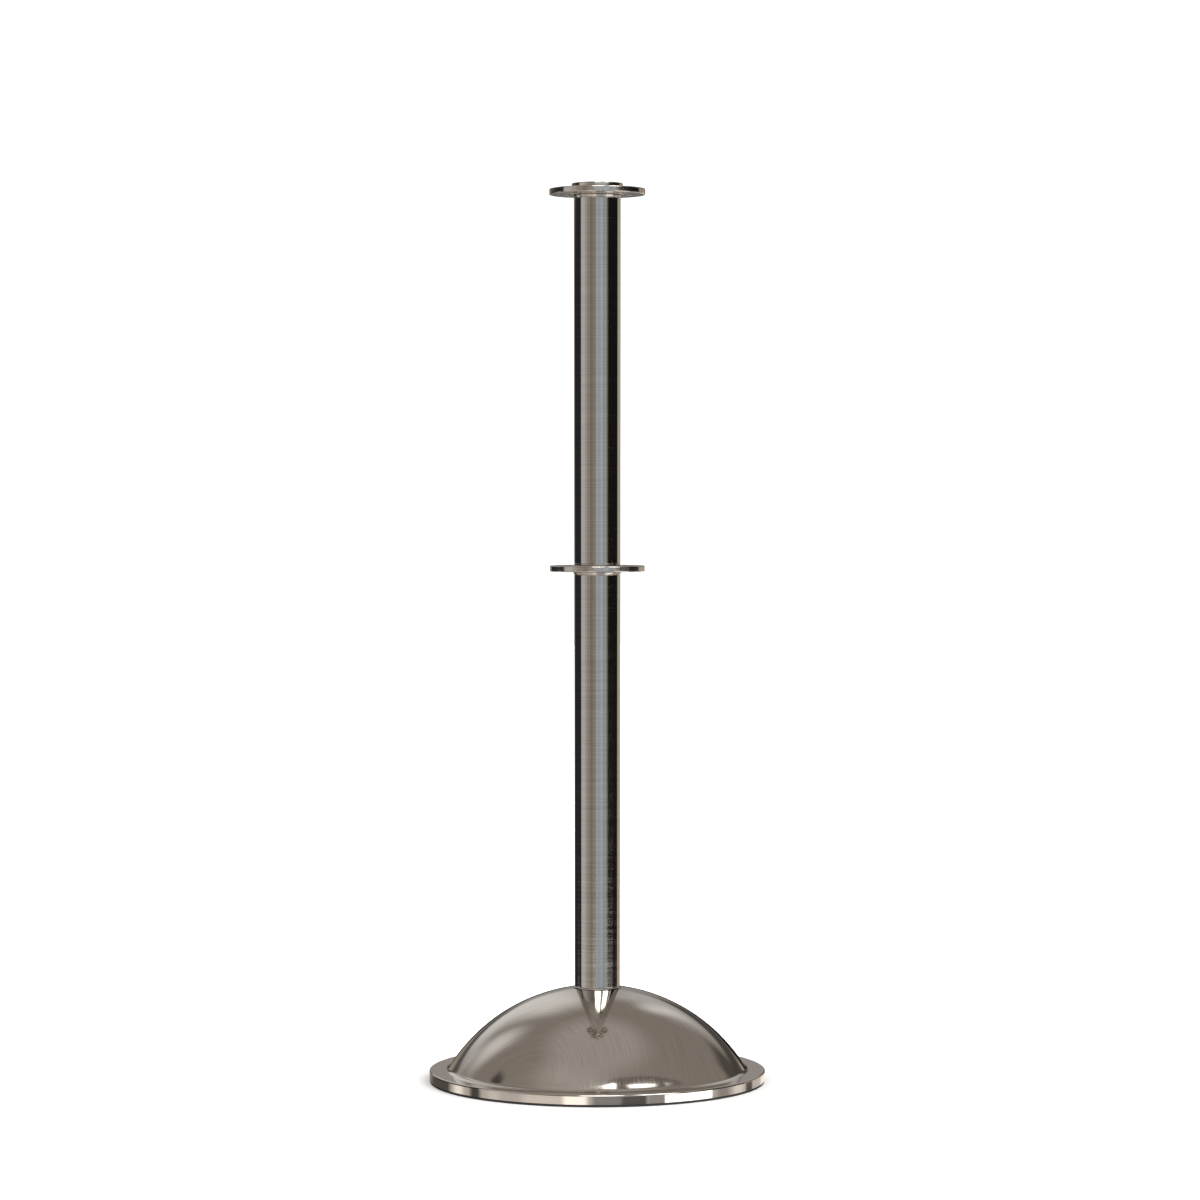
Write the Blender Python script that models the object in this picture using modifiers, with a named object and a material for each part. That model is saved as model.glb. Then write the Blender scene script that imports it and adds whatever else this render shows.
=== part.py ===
"""Rope stanchion: a free-standing barrier post with two swivelling hook rings.

A steel cover over a cast-iron weight makes the domed base. Two tubes stand on it, one above
the other, and a threaded rod from the cap to a nut under the weight clamps the stack. Each
ring turns on a hub between a tube and the piece above it. The post stands along +Z, its
axis on x = y = 0 and the floor at z = 0. Lengths are in metres.
"""

import math

import bmesh
import bpy

# Driving dimensions ---------------------------------------------------------------------

GAP = 0.0003  # clearance between neighbouring pieces

BASE_RADIUS = 0.188
FLANGE_TOP = 0.0135  # height of the flat flange around the dome
COVER_SHEET = 0.0012
COVER_EDGE_ROUND = 0.0015
COVER_FOOT_FILLET = 0.0065
DOME_RADIUS = 0.1958  # radius of the sphere that the dome is part of
DOME_APEX = 0.1077
SEAT_RADIUS = 0.0275  # flat seat pressed into the crown for the foot plug
SEAT_BORDER = 0.001  # how far the crown's flat reaches beyond the seat
RUBBER_HEIGHT = 0.0025
RUBBER_INSET = 0.0006  # how far the rubber ring stays inside the cover's rim
RUBBER_WIDTH = 0.0154
RIB_OFFSET = 0.007  # from the cover's rim in to the rib that holds the rubber ring in place
RIB_WIDTH = 0.003
RIB_HEIGHT = 0.0038

TUBE_RADIUS = 0.0254
TUBE_WALL = 0.0015
LOWER_TUBE_LENGTH = 0.455
UPPER_TUBE_LENGTH = 0.391

RING_RADIUS = 0.052
RING_THICKNESS = 0.0065
RING_EDGE_ROUND = 0.001
RING_LAND_HEIGHT = 0.00025  # raised land around the bore, on both faces
RING_LAND_RADIUS = 0.029
HOOK_HOLES = 8
HOOK_HOLE_RADIUS = 0.006
HOOK_PITCH_RADIUS = 0.0365

CAP_RADIUS = 0.0277
CAP_THICKNESS = 0.0052
CAP_EDGE_ROUND = 0.0008
CAP_LOWER_CHAMFER = 0.0003

JOURNAL_RADIUS = 0.022
COLLAR_THICKNESS = 0.0027
COLLAR_RADIUS = 0.0261
COLLAR_EDGE = 0.0012  # height of the collar's upright edge, above its cone
SPIGOT_LENGTH = 0.022
SPIGOT_CHAMFER = 0.001

ROD_RADIUS = 0.0059  # M12 threaded rod
ROD_HOLE_RADIUS = 0.0067
ROD_CHAMFER = 0.0008
ROD_END = 0.002  # how far the rod passes the nut, and how far it stays below the cap's disc
WASHER_THICKNESS = 0.0025
WASHER_RADIUS = 0.012
LOCK_WASHER_RADIUS = 0.0103
LOCK_WASHER_SLIT = 0.0014
LOCK_WASHER_SLANT = 30  # degrees from upright
NUT_HEIGHT = 0.010
NUT_ACROSS_FLATS = 0.019
NUT_TRIM = 0.0012  # height of the corners' bevel

WIDE = 48  # facets around the base
ROUND = 36  # facets around the tubes and rings
SMALL = 16  # facets around rods, holes and washers
TINY = 12  # facets around the pin and the hook holes
REACH = 0.01  # how far a cutter passes beyond the face it starts from

# Heights and radii that follow from them -------------------------------------------------

DOME_CENTRE_Z = DOME_APEX - DOME_RADIUS
SEAT_EDGE_RADIUS = SEAT_RADIUS + SEAT_BORDER
SEAT_Z = DOME_CENTRE_Z + math.sqrt(DOME_RADIUS**2 - SEAT_EDGE_RADIUS**2)
SPIGOT_RADIUS = TUBE_RADIUS - TUBE_WALL - GAP

FOOT_LIP = 0.0014  # height of the foot plug's lip, between the crown and the tube
FOOT_LIP_TOP_RADIUS = TUBE_RADIUS + 0.0004
FOOT_LIP_RADIUS = TUBE_RADIUS + 0.0012
FOOT_LIP_EDGE = 0.0006  # height of the lip's upright edge
FOOT_PLUG_Z = SEAT_Z + GAP
LOWER_TUBE_Z = FOOT_PLUG_Z + FOOT_LIP + GAP
PLUG_FLANGE = 0.0016
PLUG_FLANGE_RADIUS = TUBE_RADIUS - 0.0001

RING_BODY = RING_THICKNESS + 2 * RING_LAND_HEIGHT
RING_SLOT = RING_BODY + 2 * GAP  # room for a ring between a collar and the piece above
JOURNAL_HEIGHT = RING_SLOT - GAP

MIDDLE_HUB_Z = LOWER_TUBE_Z + LOWER_TUBE_LENGTH + GAP + COLLAR_THICKNESS
UPPER_PLUG_Z = MIDDLE_HUB_Z + RING_SLOT
UPPER_TUBE_Z = UPPER_PLUG_Z + PLUG_FLANGE + GAP
TOP_HUB_Z = UPPER_TUBE_Z + UPPER_TUBE_LENGTH + GAP + COLLAR_THICKNESS
CAP_Z = TOP_HUB_Z + RING_SLOT

GLIDE_THICKNESS = 0.0009
GLIDE_INNER = JOURNAL_RADIUS + GAP
GLIDE_OUTER = GLIDE_INNER + 0.0022
GLIDE_POCKET_DEPTH = GLIDE_THICKNESS + GAP  # sunk into both faces of a ring
GLIDE_POCKET_RADIUS = GLIDE_OUTER + 0.0004

SOCKET_RADIUS = 0.016  # counterbore in a hub for the boss of the cap or of the upper plug
SOCKET_DEPTH = 0.010  # below the collar's top face
BOSS_RADIUS = SOCKET_RADIUS - GAP
PLUG_BOSS_LENGTH = 0.010
CAP_BOSS_LENGTH = 0.015
CAP_THREAD_TOP = 0.001  # how far below the cap's disc its blind thread ends

WEIGHT_BOTTOM = RUBBER_HEIGHT + GAP
WEIGHT_TOP = FLANGE_TOP - COVER_SHEET - 0.0004
WEIGHT_RADIUS = BASE_RADIUS - COVER_SHEET - 0.001
WEIGHT_CHAMFER = 0.001
WEIGHT_HUB_TOP_RADIUS = 0.0265
WEIGHT_HUB_FOOT_RADIUS = 0.033
WEIGHT_HUB_FILLET = 0.014
HUB_TOP = SEAT_Z - COVER_SHEET - GAP
RELIEF_OUTER = 0.166  # shallow annular relief under the disc
RELIEF_INNER = 0.040
RELIEF_DEPTH = 0.0035
NUT_POCKET_TOP = 0.024
NUT_POCKET_RADIUS = 0.022
NUT_POCKET_TAPER = 0.002  # how much wider the pocket is at its mouth

WEIGHT_RIBS = 6
WEIGHT_RIB_THICKNESS = 0.007
WEIGHT_RIB_INNER = 0.024
WEIGHT_RIB_OUTER = 0.150
WEIGHT_RIB_TOE = 0.006  # its height at the outer end
WEIGHT_RIB_DROP = 0.014  # from the top of the hub to the top of the rib
WEIGHT_RIB_SUNK = 0.003  # how far a rib runs into the disc

PIN_RADIUS = 0.0025
PIN_BORE_RADIUS = 0.0014
PIN_SLOT = 0.0008
PIN_HOLE_RADIUS = PIN_RADIUS + GAP
PIN_PITCH_RADIUS = 0.0165
PIN_DEPTH = 0.010  # how far the pin reaches into the weight and into the foot plug
PIN_END_ROOM = 0.001  # how much deeper than the pin its holes are


# Helpers --------------------------------------------------------------------------------


def clear_scene():
    for obj in list(bpy.data.objects):
        bpy.data.objects.remove(obj, do_unlink=True)


def collection(name):
    made = bpy.data.collections.new(name)
    bpy.context.scene.collection.children.link(made)
    return made


def material(name, colour, metallic, roughness):
    made = bpy.data.materials.new(name)
    made.use_nodes = True
    shader = made.node_tree.nodes["Principled BSDF"]
    shader.inputs["Base Color"].default_value = (*colour, 1.0)
    shader.inputs["Metallic"].default_value = metallic
    shader.inputs["Roughness"].default_value = roughness
    made.diffuse_color = (*colour, 1.0)
    return made


def arc(centre_r, centre_z, radius, start, end, steps):
    """Points of a profile along a circle, from one angle to another in degrees."""
    points = []
    for i in range(steps + 1):
        angle = math.radians(start + (end - start) * i / steps)
        points.append((centre_r + radius * math.cos(angle), centre_z + radius * math.sin(angle)))
    return points


def solid_mesh(obj):
    """The evaluated mesh of an object, welded, as an independent mesh."""
    depsgraph = bpy.context.evaluated_depsgraph_get()
    mesh = bpy.data.meshes.new_from_object(obj.evaluated_get(depsgraph))
    welded = bmesh.new()
    welded.from_mesh(mesh)
    bmesh.ops.remove_doubles(welded, verts=welded.verts, dist=1e-6)
    welded.to_mesh(mesh)
    welded.free()
    return mesh


def finish_mesh(obj, look):
    obj.data.shade_smooth()
    obj.data.set_sharp_from_angle(angle=math.radians(32))
    obj.data.materials.clear()
    if look:
        obj.data.materials.append(look)


def turned(name, profile, look, facets, group, z=0.0, closed=True):
    """A solid of revolution about its own Z, from (radius, height) points.

    The points run down the outer side. A closed profile stays off the axis; an open one
    begins and ends on it.
    """
    mesh = bpy.data.meshes.new(name)
    corners = [(radius, 0.0, height) for radius, height in profile]
    edges = [(i, i + 1) for i in range(len(corners) - 1)]
    if closed:
        edges.append((len(corners) - 1, 0))
    mesh.from_pydata(corners, edges, [])
    outline = bpy.data.objects.new(name + "_outline", mesh)
    bpy.context.scene.collection.objects.link(outline)
    screw = outline.modifiers.new("Turn", "SCREW")
    screw.steps = facets
    screw.render_steps = facets
    screw.use_merge_vertices = True
    screw.merge_threshold = 0.00001
    obj = bpy.data.objects.new(name, solid_mesh(outline))
    obj.location.z = z
    group.objects.link(obj)
    bpy.data.objects.remove(outline, do_unlink=True)
    finish_mesh(obj, look)
    return obj


def ring_section(inner, outer, height):
    """The section of a plain washer or tube, standing on z = 0."""
    return [(inner, height), (outer, height), (outer, 0.0), (inner, 0.0)]


def box(name, size, group):
    mesh = bpy.data.meshes.new(name)
    shape = bmesh.new()
    bmesh.ops.create_cube(shape, size=1.0)
    bmesh.ops.scale(shape, vec=size, verts=shape.verts)
    shape.to_mesh(mesh)
    shape.free()
    obj = bpy.data.objects.new(name, mesh)
    group.objects.link(obj)
    return obj


def plate(name, outline, thickness, group):
    """A flat plate in the XZ plane, centred on y = 0, from the corners of its outline."""
    curve = bpy.data.curves.new(name, "CURVE")
    curve.dimensions = "2D"
    curve.fill_mode = "BOTH"
    curve.extrude = thickness / 2
    spline = curve.splines.new("POLY")
    spline.points.add(len(outline) - 1)
    for point, (x, z) in zip(spline.points, outline):
        point.co = (x, z, 0.0, 1.0)
    spline.use_cyclic_u = True
    flat = bpy.data.objects.new(name + "_outline", curve)
    bpy.context.scene.collection.objects.link(flat)
    obj = bpy.data.objects.new(name, solid_mesh(flat))
    obj.rotation_euler.x = math.pi / 2
    group.objects.link(obj)
    bpy.data.objects.remove(flat, do_unlink=True)
    return obj


def boolean(obj, tool, operation):
    modifier = obj.modifiers.new(tool.name, "BOOLEAN")
    modifier.operation = operation
    modifier.solver = "EXACT"
    modifier.object = tool
    tool.hide_render = True
    tool.display_type = "WIRE"


def drill(obj, radius, low, high, cutters, x=0.0, angle=0.0, facets=SMALL):
    """Cuts a hole along Z, at distance x from the post's axis and at an angle around it."""
    name = obj.name + "_drill_" + str(len(obj.modifiers))
    profile = [(0.0, high), (radius, high), (radius, low), (0.0, low)]
    cutter = turned(name, profile, None, facets, cutters, closed=False)
    cutter.location.x = x * math.cos(angle)
    cutter.location.y = x * math.sin(angle)
    cutter.rotation_euler.z = angle + math.pi / facets  # keeps its corners off radial edges
    boolean(obj, cutter, "DIFFERENCE")


# Base -----------------------------------------------------------------------------------


def cover_outline(inset):
    """The cover's section from the crown to the skirt, moved inward by inset."""
    sphere = DOME_RADIUS - inset
    fillet = COVER_FOOT_FILLET + inset
    fillet_z = FLANGE_TOP + COVER_FOOT_FILLET
    reach = DOME_RADIUS + COVER_FOOT_FILLET
    fillet_r = math.sqrt(reach**2 - (fillet_z - DOME_CENTRE_Z) ** 2)
    foot_angle = math.degrees(math.atan2(fillet_z - DOME_CENTRE_Z, fillet_r))
    seat_z = SEAT_Z - inset
    seat_edge = math.sqrt(sphere**2 - (seat_z - DOME_CENTRE_Z) ** 2)
    seat_angle = math.degrees(math.acos(seat_edge / sphere))
    edge_r = BASE_RADIUS - COVER_EDGE_ROUND
    edge_z = FLANGE_TOP - COVER_EDGE_ROUND
    outline = [(ROD_HOLE_RADIUS, seat_z)]
    outline += arc(0.0, DOME_CENTRE_Z, sphere, seat_angle, foot_angle, 8)
    outline += arc(fillet_r, fillet_z, fillet, 180 + foot_angle, 270, 2)[1:]
    outline += arc(edge_r, edge_z, COVER_EDGE_ROUND - inset, 90, 0, 2)
    outline.append((BASE_RADIUS - inset, WEIGHT_BOTTOM))
    return outline


def make_dome_cover(look, group, cutters):
    section = cover_outline(0.0) + cover_outline(COVER_SHEET)[::-1]
    cover = turned("dome_cover", section, look, WIDE, group)
    drill(cover, PIN_HOLE_RADIUS, SEAT_Z - REACH, SEAT_Z + REACH, cutters, x=PIN_PITCH_RADIUS)


def make_floor_ring(look, group):
    """A flat rubber ring with a rib around its top, pressed into a groove in the weight."""
    outer = BASE_RADIUS - RUBBER_INSET
    inner = outer - RUBBER_WIDTH
    rib_outer = BASE_RADIUS - RIB_OFFSET
    rib_inner = rib_outer - RIB_WIDTH
    rib_top = RUBBER_HEIGHT + RIB_HEIGHT
    profile = [
        (rib_inner, rib_top),
        (rib_outer, rib_top),
        (rib_outer, RUBBER_HEIGHT),
        (outer, RUBBER_HEIGHT),
        (outer, 0.0),
        (inner, 0.0),
        (inner, RUBBER_HEIGHT),
        (rib_inner, RUBBER_HEIGHT),
    ]
    turned("floor_ring", profile, look, WIDE, group)


def weight_section():
    """Disc, hub, nut pocket, relief, and the groove for the rubber ring's rib."""
    root = WEIGHT_HUB_FILLET
    groove_outer = BASE_RADIUS - RIB_OFFSET + GAP
    groove_inner = BASE_RADIUS - RIB_OFFSET - RIB_WIDTH - GAP
    groove_top = RUBBER_HEIGHT + RIB_HEIGHT + GAP
    relief_top = WEIGHT_BOTTOM + RELIEF_DEPTH
    return [
        (ROD_HOLE_RADIUS, HUB_TOP),
        (WEIGHT_HUB_TOP_RADIUS - WEIGHT_CHAMFER, HUB_TOP),
        (WEIGHT_HUB_TOP_RADIUS, HUB_TOP - WEIGHT_CHAMFER),
        *arc(WEIGHT_HUB_FOOT_RADIUS + root, WEIGHT_TOP + root, root, 180, 270, 3),
        (WEIGHT_RADIUS - WEIGHT_CHAMFER, WEIGHT_TOP),
        (WEIGHT_RADIUS, WEIGHT_TOP - WEIGHT_CHAMFER),
        (WEIGHT_RADIUS, WEIGHT_BOTTOM),
        (groove_outer, WEIGHT_BOTTOM),
        (groove_outer, groove_top),
        (groove_inner, groove_top),
        (groove_inner, WEIGHT_BOTTOM),
        (RELIEF_OUTER, WEIGHT_BOTTOM),
        (RELIEF_OUTER - RELIEF_DEPTH, relief_top),
        (RELIEF_INNER + RELIEF_DEPTH, relief_top),
        (RELIEF_INNER, WEIGHT_BOTTOM),
        (NUT_POCKET_RADIUS + NUT_POCKET_TAPER, WEIGHT_BOTTOM),
        (NUT_POCKET_RADIUS, NUT_POCKET_TOP),
        (ROD_HOLE_RADIUS, NUT_POCKET_TOP),
    ]


def make_base_weight(look, group, cutters):
    """The turned weight, its ribs, and the blind hole for the anti-turn pin."""
    weight = turned("base_weight", weight_section(), look, WIDE, group)
    corners = [
        (WEIGHT_RIB_INNER, WEIGHT_TOP - WEIGHT_RIB_SUNK),
        (WEIGHT_RIB_OUTER, WEIGHT_TOP - WEIGHT_RIB_SUNK),
        (WEIGHT_RIB_OUTER, WEIGHT_TOP + WEIGHT_RIB_TOE),
        (WEIGHT_RIB_INNER, HUB_TOP - WEIGHT_RIB_DROP),
    ]
    for i in range(WEIGHT_RIBS):
        rib = plate("rib_" + str(i), corners, WEIGHT_RIB_THICKNESS, cutters)
        rib.rotation_euler.z = math.tau * (i + 0.5) / WEIGHT_RIBS
        boolean(weight, rib, "UNION")
    low = HUB_TOP - PIN_DEPTH - PIN_END_ROOM
    drill(weight, PIN_HOLE_RADIUS, low, HUB_TOP + REACH, cutters, x=PIN_PITCH_RADIUS)


def make_base_fasteners(look, group, cutters):
    """Washer, split washer and nut, up against the ceiling of the weight's pocket."""
    washer_z = NUT_POCKET_TOP - GAP - WASHER_THICKNESS
    split_z = washer_z - GAP - WASHER_THICKNESS
    nut_z = split_z - GAP - NUT_HEIGHT
    section = ring_section(ROD_HOLE_RADIUS, WASHER_RADIUS, WASHER_THICKNESS)
    turned("base_washer", section, look, SMALL, group, z=washer_z)

    section = ring_section(ROD_RADIUS + GAP, LOCK_WASHER_RADIUS, WASHER_THICKNESS)
    split = turned("base_lock_washer", section, look, SMALL, group, z=split_z)
    size = (WASHER_RADIUS, LOCK_WASHER_SLIT, WASHER_RADIUS)
    slot = box("split_washer_slot", size, cutters)
    slot.location = (LOCK_WASHER_RADIUS, 0.0, split_z + WASHER_THICKNESS / 2)
    slot.rotation_euler.x = math.radians(LOCK_WASHER_SLANT)
    boolean(split, slot, "DIFFERENCE")

    make_nut("base_nut", nut_z, look, group, cutters)
    return nut_z


def make_nut(name, z, look, group, cutters):
    """A hexagon nut: a six-sided prism whose corners a cone has trimmed at both ends."""
    flat = NUT_ACROSS_FLATS / 2
    corner = flat / math.cos(math.pi / 6)
    prism = [(0.0, NUT_HEIGHT), (corner, NUT_HEIGHT), (corner, 0.0), (0.0, 0.0)]
    nut = turned(name, prism, look, 6, group, z=z, closed=False)
    profile = [
        (0.0, NUT_HEIGHT + GAP),
        (flat, NUT_HEIGHT + GAP),
        (flat, NUT_HEIGHT),
        (corner + GAP, NUT_HEIGHT - NUT_TRIM),
        (corner + GAP, NUT_TRIM),
        (flat, 0.0),
        (flat, -GAP),
        (0.0, -GAP),
    ]
    envelope = turned(name + "_envelope", profile, None, SMALL, cutters, z=z, closed=False)
    boolean(nut, envelope, "INTERSECT")
    drill(nut, ROD_RADIUS + GAP, z - REACH, z + NUT_HEIGHT + REACH, cutters)


def make_anti_turn_pin(look, group, cutters):
    """A slotted spring pin that keys the foot plug, the cover and the weight together."""
    low = HUB_TOP - PIN_DEPTH
    high = FOOT_PLUG_Z + PIN_DEPTH
    section = ring_section(PIN_BORE_RADIUS, PIN_RADIUS, high - low)
    pin = turned("anti_turn_pin", section, look, TINY, group, z=low)
    pin.location.x = PIN_PITCH_RADIUS
    wall = (PIN_BORE_RADIUS + PIN_RADIUS) / 2
    slot = box("pin_slot", (PIN_RADIUS, PIN_SLOT, high - low + REACH), cutters)
    slot.location = (PIN_PITCH_RADIUS + wall, 0.0, (low + high) / 2)
    boolean(pin, slot, "DIFFERENCE")


# Post -----------------------------------------------------------------------------------


def make_foot_plug(look, group, cutters):
    """Carries the lower tube on the crown. Its lip slopes outward below the tube's end."""
    profile = [
        (ROD_HOLE_RADIUS, SPIGOT_LENGTH),
        (SPIGOT_RADIUS - SPIGOT_CHAMFER, SPIGOT_LENGTH),
        (SPIGOT_RADIUS, SPIGOT_LENGTH - SPIGOT_CHAMFER),
        (SPIGOT_RADIUS, FOOT_LIP),
        (FOOT_LIP_TOP_RADIUS, FOOT_LIP),
        (FOOT_LIP_RADIUS, FOOT_LIP_EDGE),
        (FOOT_LIP_RADIUS, 0.0),
        (ROD_HOLE_RADIUS, 0.0),
    ]
    plug = turned("foot_plug", profile, look, ROUND, group, z=FOOT_PLUG_Z)
    top = FOOT_PLUG_Z + PIN_DEPTH + PIN_END_ROOM
    drill(plug, PIN_HOLE_RADIUS, FOOT_PLUG_Z - REACH, top, cutters, x=PIN_PITCH_RADIUS)


def make_tube(name, z, length, look, group):
    section = ring_section(TUBE_RADIUS - TUBE_WALL, TUBE_RADIUS, length)
    turned(name, section, look, ROUND, group, z=z)


def make_hub(name, z, look, group):
    """Spigot for the tube below, visible collar, and the journal that a ring turns on.

    Its origin is on the collar's top face.
    """
    spigot_end = -COLLAR_THICKNESS - SPIGOT_LENGTH
    profile = [
        (SOCKET_RADIUS, JOURNAL_HEIGHT),
        (JOURNAL_RADIUS, JOURNAL_HEIGHT),
        (JOURNAL_RADIUS, 0.0),
        (COLLAR_RADIUS, 0.0),
        (COLLAR_RADIUS, -COLLAR_EDGE),
        (TUBE_RADIUS, -COLLAR_THICKNESS),
        (SPIGOT_RADIUS, -COLLAR_THICKNESS),
        (SPIGOT_RADIUS, spigot_end + SPIGOT_CHAMFER),
        (SPIGOT_RADIUS - SPIGOT_CHAMFER, spigot_end),
        (ROD_HOLE_RADIUS, spigot_end),
        (ROD_HOLE_RADIUS, -SOCKET_DEPTH),
        (SOCKET_RADIUS, -SOCKET_DEPTH),
    ]
    turned(name, profile, look, ROUND, group, z=z)


def make_upper_tube_plug(look, group):
    """Carries the upper tube on the middle hub. Its origin is under its flange."""
    profile = [
        (ROD_HOLE_RADIUS, SPIGOT_LENGTH),
        (SPIGOT_RADIUS - SPIGOT_CHAMFER, SPIGOT_LENGTH),
        (SPIGOT_RADIUS, SPIGOT_LENGTH - SPIGOT_CHAMFER),
        (SPIGOT_RADIUS, PLUG_FLANGE),
        (PLUG_FLANGE_RADIUS, PLUG_FLANGE),
        (PLUG_FLANGE_RADIUS, 0.0),
        (BOSS_RADIUS, 0.0),
        (BOSS_RADIUS, -PLUG_BOSS_LENGTH),
        (ROD_HOLE_RADIUS, -PLUG_BOSS_LENGTH),
    ]
    turned("upper_tube_plug", profile, look, ROUND, group, z=UPPER_PLUG_Z)


def make_top_cap(look, group):
    """Screws onto the rod with the threaded boss under it. Its origin is under its disc."""
    thread_radius = ROD_RADIUS + GAP
    edge_r = CAP_RADIUS - CAP_EDGE_ROUND
    edge_z = CAP_THICKNESS - CAP_EDGE_ROUND
    profile = [
        (0.0, CAP_THICKNESS),
        *arc(edge_r, edge_z, CAP_EDGE_ROUND, 90, 0, 2),
        (CAP_RADIUS, CAP_LOWER_CHAMFER),
        (CAP_RADIUS - CAP_LOWER_CHAMFER, 0.0),
        (BOSS_RADIUS, 0.0),
        (BOSS_RADIUS, -CAP_BOSS_LENGTH),
        (thread_radius, -CAP_BOSS_LENGTH),
        (thread_radius, -CAP_THREAD_TOP),
        (0.0, -CAP_THREAD_TOP),
    ]
    turned("top_cap", profile, look, ROUND, group, z=CAP_Z, closed=False)


def make_tie_rod(nut_z, look, group):
    low = nut_z - ROD_END
    length = CAP_Z - ROD_END - low
    profile = [
        (0.0, length),
        (ROD_RADIUS - ROD_CHAMFER, length),
        (ROD_RADIUS, length - ROD_CHAMFER),
        (ROD_RADIUS, ROD_CHAMFER),
        (ROD_RADIUS - ROD_CHAMFER, 0.0),
        (0.0, 0.0),
    ]
    turned("tie_rod", profile, look, SMALL, group, z=low, closed=False)


# Hook rings ------------------------------------------------------------------------------


def ring_profile():
    half = RING_THICKNESS / 2
    land = half + RING_LAND_HEIGHT
    pocket = land - GLIDE_POCKET_DEPTH
    bore = JOURNAL_RADIUS + GAP
    edge_r = RING_RADIUS - RING_EDGE_ROUND
    edge_z = half - RING_EDGE_ROUND
    upper = [
        (bore, pocket),
        (GLIDE_POCKET_RADIUS, pocket),
        (GLIDE_POCKET_RADIUS, land),
        (RING_LAND_RADIUS - RING_LAND_HEIGHT, land),
        (RING_LAND_RADIUS, half),
        *arc(edge_r, edge_z, RING_EDGE_ROUND, 90, 0, 2),
    ]
    lower = [(radius, -height) for radius, height in reversed(upper)]
    return upper + lower


def make_ring(name, hub_z, ring_look, glide_look, group, cutters):
    """A ring with its hook holes, its origin on its own swivel axis, and its two glides."""
    centre_z = hub_z + RING_SLOT / 2
    pivot = bpy.data.objects.new(name + "_pivot", None)
    pivot.location.z = centre_z
    group.objects.link(pivot)
    ring = turned(name, ring_profile(), ring_look, ROUND, group)
    ring.parent = pivot
    for i in range(HOOK_HOLES):
        drill(
            ring, HOOK_HOLE_RADIUS, centre_z - RING_BODY, centre_z + RING_BODY, cutters,
            x=HOOK_PITCH_RADIUS, angle=math.tau * i / HOOK_HOLES, facets=TINY,
        )
    glide = ring_section(GLIDE_INNER, GLIDE_OUTER, GLIDE_THICKNESS)
    low_z = hub_z + GAP
    high_z = hub_z + RING_SLOT - GAP - GLIDE_THICKNESS
    turned(name + "_lower_glide", glide, glide_look, ROUND, group, z=low_z)
    turned(name + "_upper_glide", glide, glide_look, ROUND, group, z=high_z)


# Assembly --------------------------------------------------------------------------------


def build():
    clear_scene()
    group = collection("rope_stanchion")
    cutters = collection("cutters")
    brushed = material("brushed_steel", (0.52, 0.49, 0.46), 1.0, 0.30)
    polished = material("polished_steel", (0.66, 0.62, 0.58), 1.0, 0.14)
    turned_steel = material("turned_steel", (0.55, 0.53, 0.51), 1.0, 0.35)
    iron = material("cast_iron", (0.06, 0.06, 0.065), 0.2, 0.70)
    zinc = material("zinc_plated_steel", (0.60, 0.61, 0.63), 1.0, 0.38)
    rubber = material("black_rubber", (0.015, 0.015, 0.016), 0.0, 0.75)
    nylon = material("white_nylon", (0.80, 0.79, 0.75), 0.0, 0.50)

    make_floor_ring(rubber, group)
    make_base_weight(iron, group, cutters)
    make_dome_cover(brushed, group, cutters)
    nut_z = make_base_fasteners(zinc, group, cutters)
    make_anti_turn_pin(zinc, group, cutters)
    make_foot_plug(polished, group, cutters)
    make_tube("lower_tube", LOWER_TUBE_Z, LOWER_TUBE_LENGTH, brushed, group)
    make_hub("middle_hub", MIDDLE_HUB_Z, turned_steel, group)
    make_upper_tube_plug(turned_steel, group)
    make_tube("upper_tube", UPPER_TUBE_Z, UPPER_TUBE_LENGTH, brushed, group)
    make_hub("top_hub", TOP_HUB_Z, turned_steel, group)
    make_top_cap(polished, group)
    make_tie_rod(nut_z, zinc, group)
    make_ring("middle_ring", MIDDLE_HUB_Z, polished, nylon, group, cutters)
    make_ring("top_ring", TOP_HUB_Z, polished, nylon, group, cutters)


build()
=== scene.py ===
"""Looks of the rope stanchion: fine turned surfaces, metal finishes, studio light and camera.

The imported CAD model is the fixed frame. Every turned piece is modelled again at a fine
resolution in the same place, with rounded edges, and stands for its CAD node. The metals
show what they reflect, so the studio is a set of soft-edged cards all around the post.
"""

import math
from collections import namedtuple

import bpy
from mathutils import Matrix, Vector


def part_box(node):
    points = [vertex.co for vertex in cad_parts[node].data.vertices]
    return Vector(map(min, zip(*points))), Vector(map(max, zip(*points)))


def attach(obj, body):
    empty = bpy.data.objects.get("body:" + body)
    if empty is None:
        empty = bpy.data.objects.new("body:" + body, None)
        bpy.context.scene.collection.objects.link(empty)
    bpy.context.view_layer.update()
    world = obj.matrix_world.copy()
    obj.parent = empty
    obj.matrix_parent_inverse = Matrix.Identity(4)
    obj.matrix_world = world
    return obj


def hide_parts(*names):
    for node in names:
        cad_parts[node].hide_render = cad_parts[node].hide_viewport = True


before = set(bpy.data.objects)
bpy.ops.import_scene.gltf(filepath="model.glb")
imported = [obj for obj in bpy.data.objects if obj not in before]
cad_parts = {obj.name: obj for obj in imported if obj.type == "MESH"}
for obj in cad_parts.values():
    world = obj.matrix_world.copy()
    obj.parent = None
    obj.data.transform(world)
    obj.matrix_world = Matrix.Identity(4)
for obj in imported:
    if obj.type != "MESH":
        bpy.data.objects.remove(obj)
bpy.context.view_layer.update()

# Section details that the frame's boxes don't give, in metres ---------------------------

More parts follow.
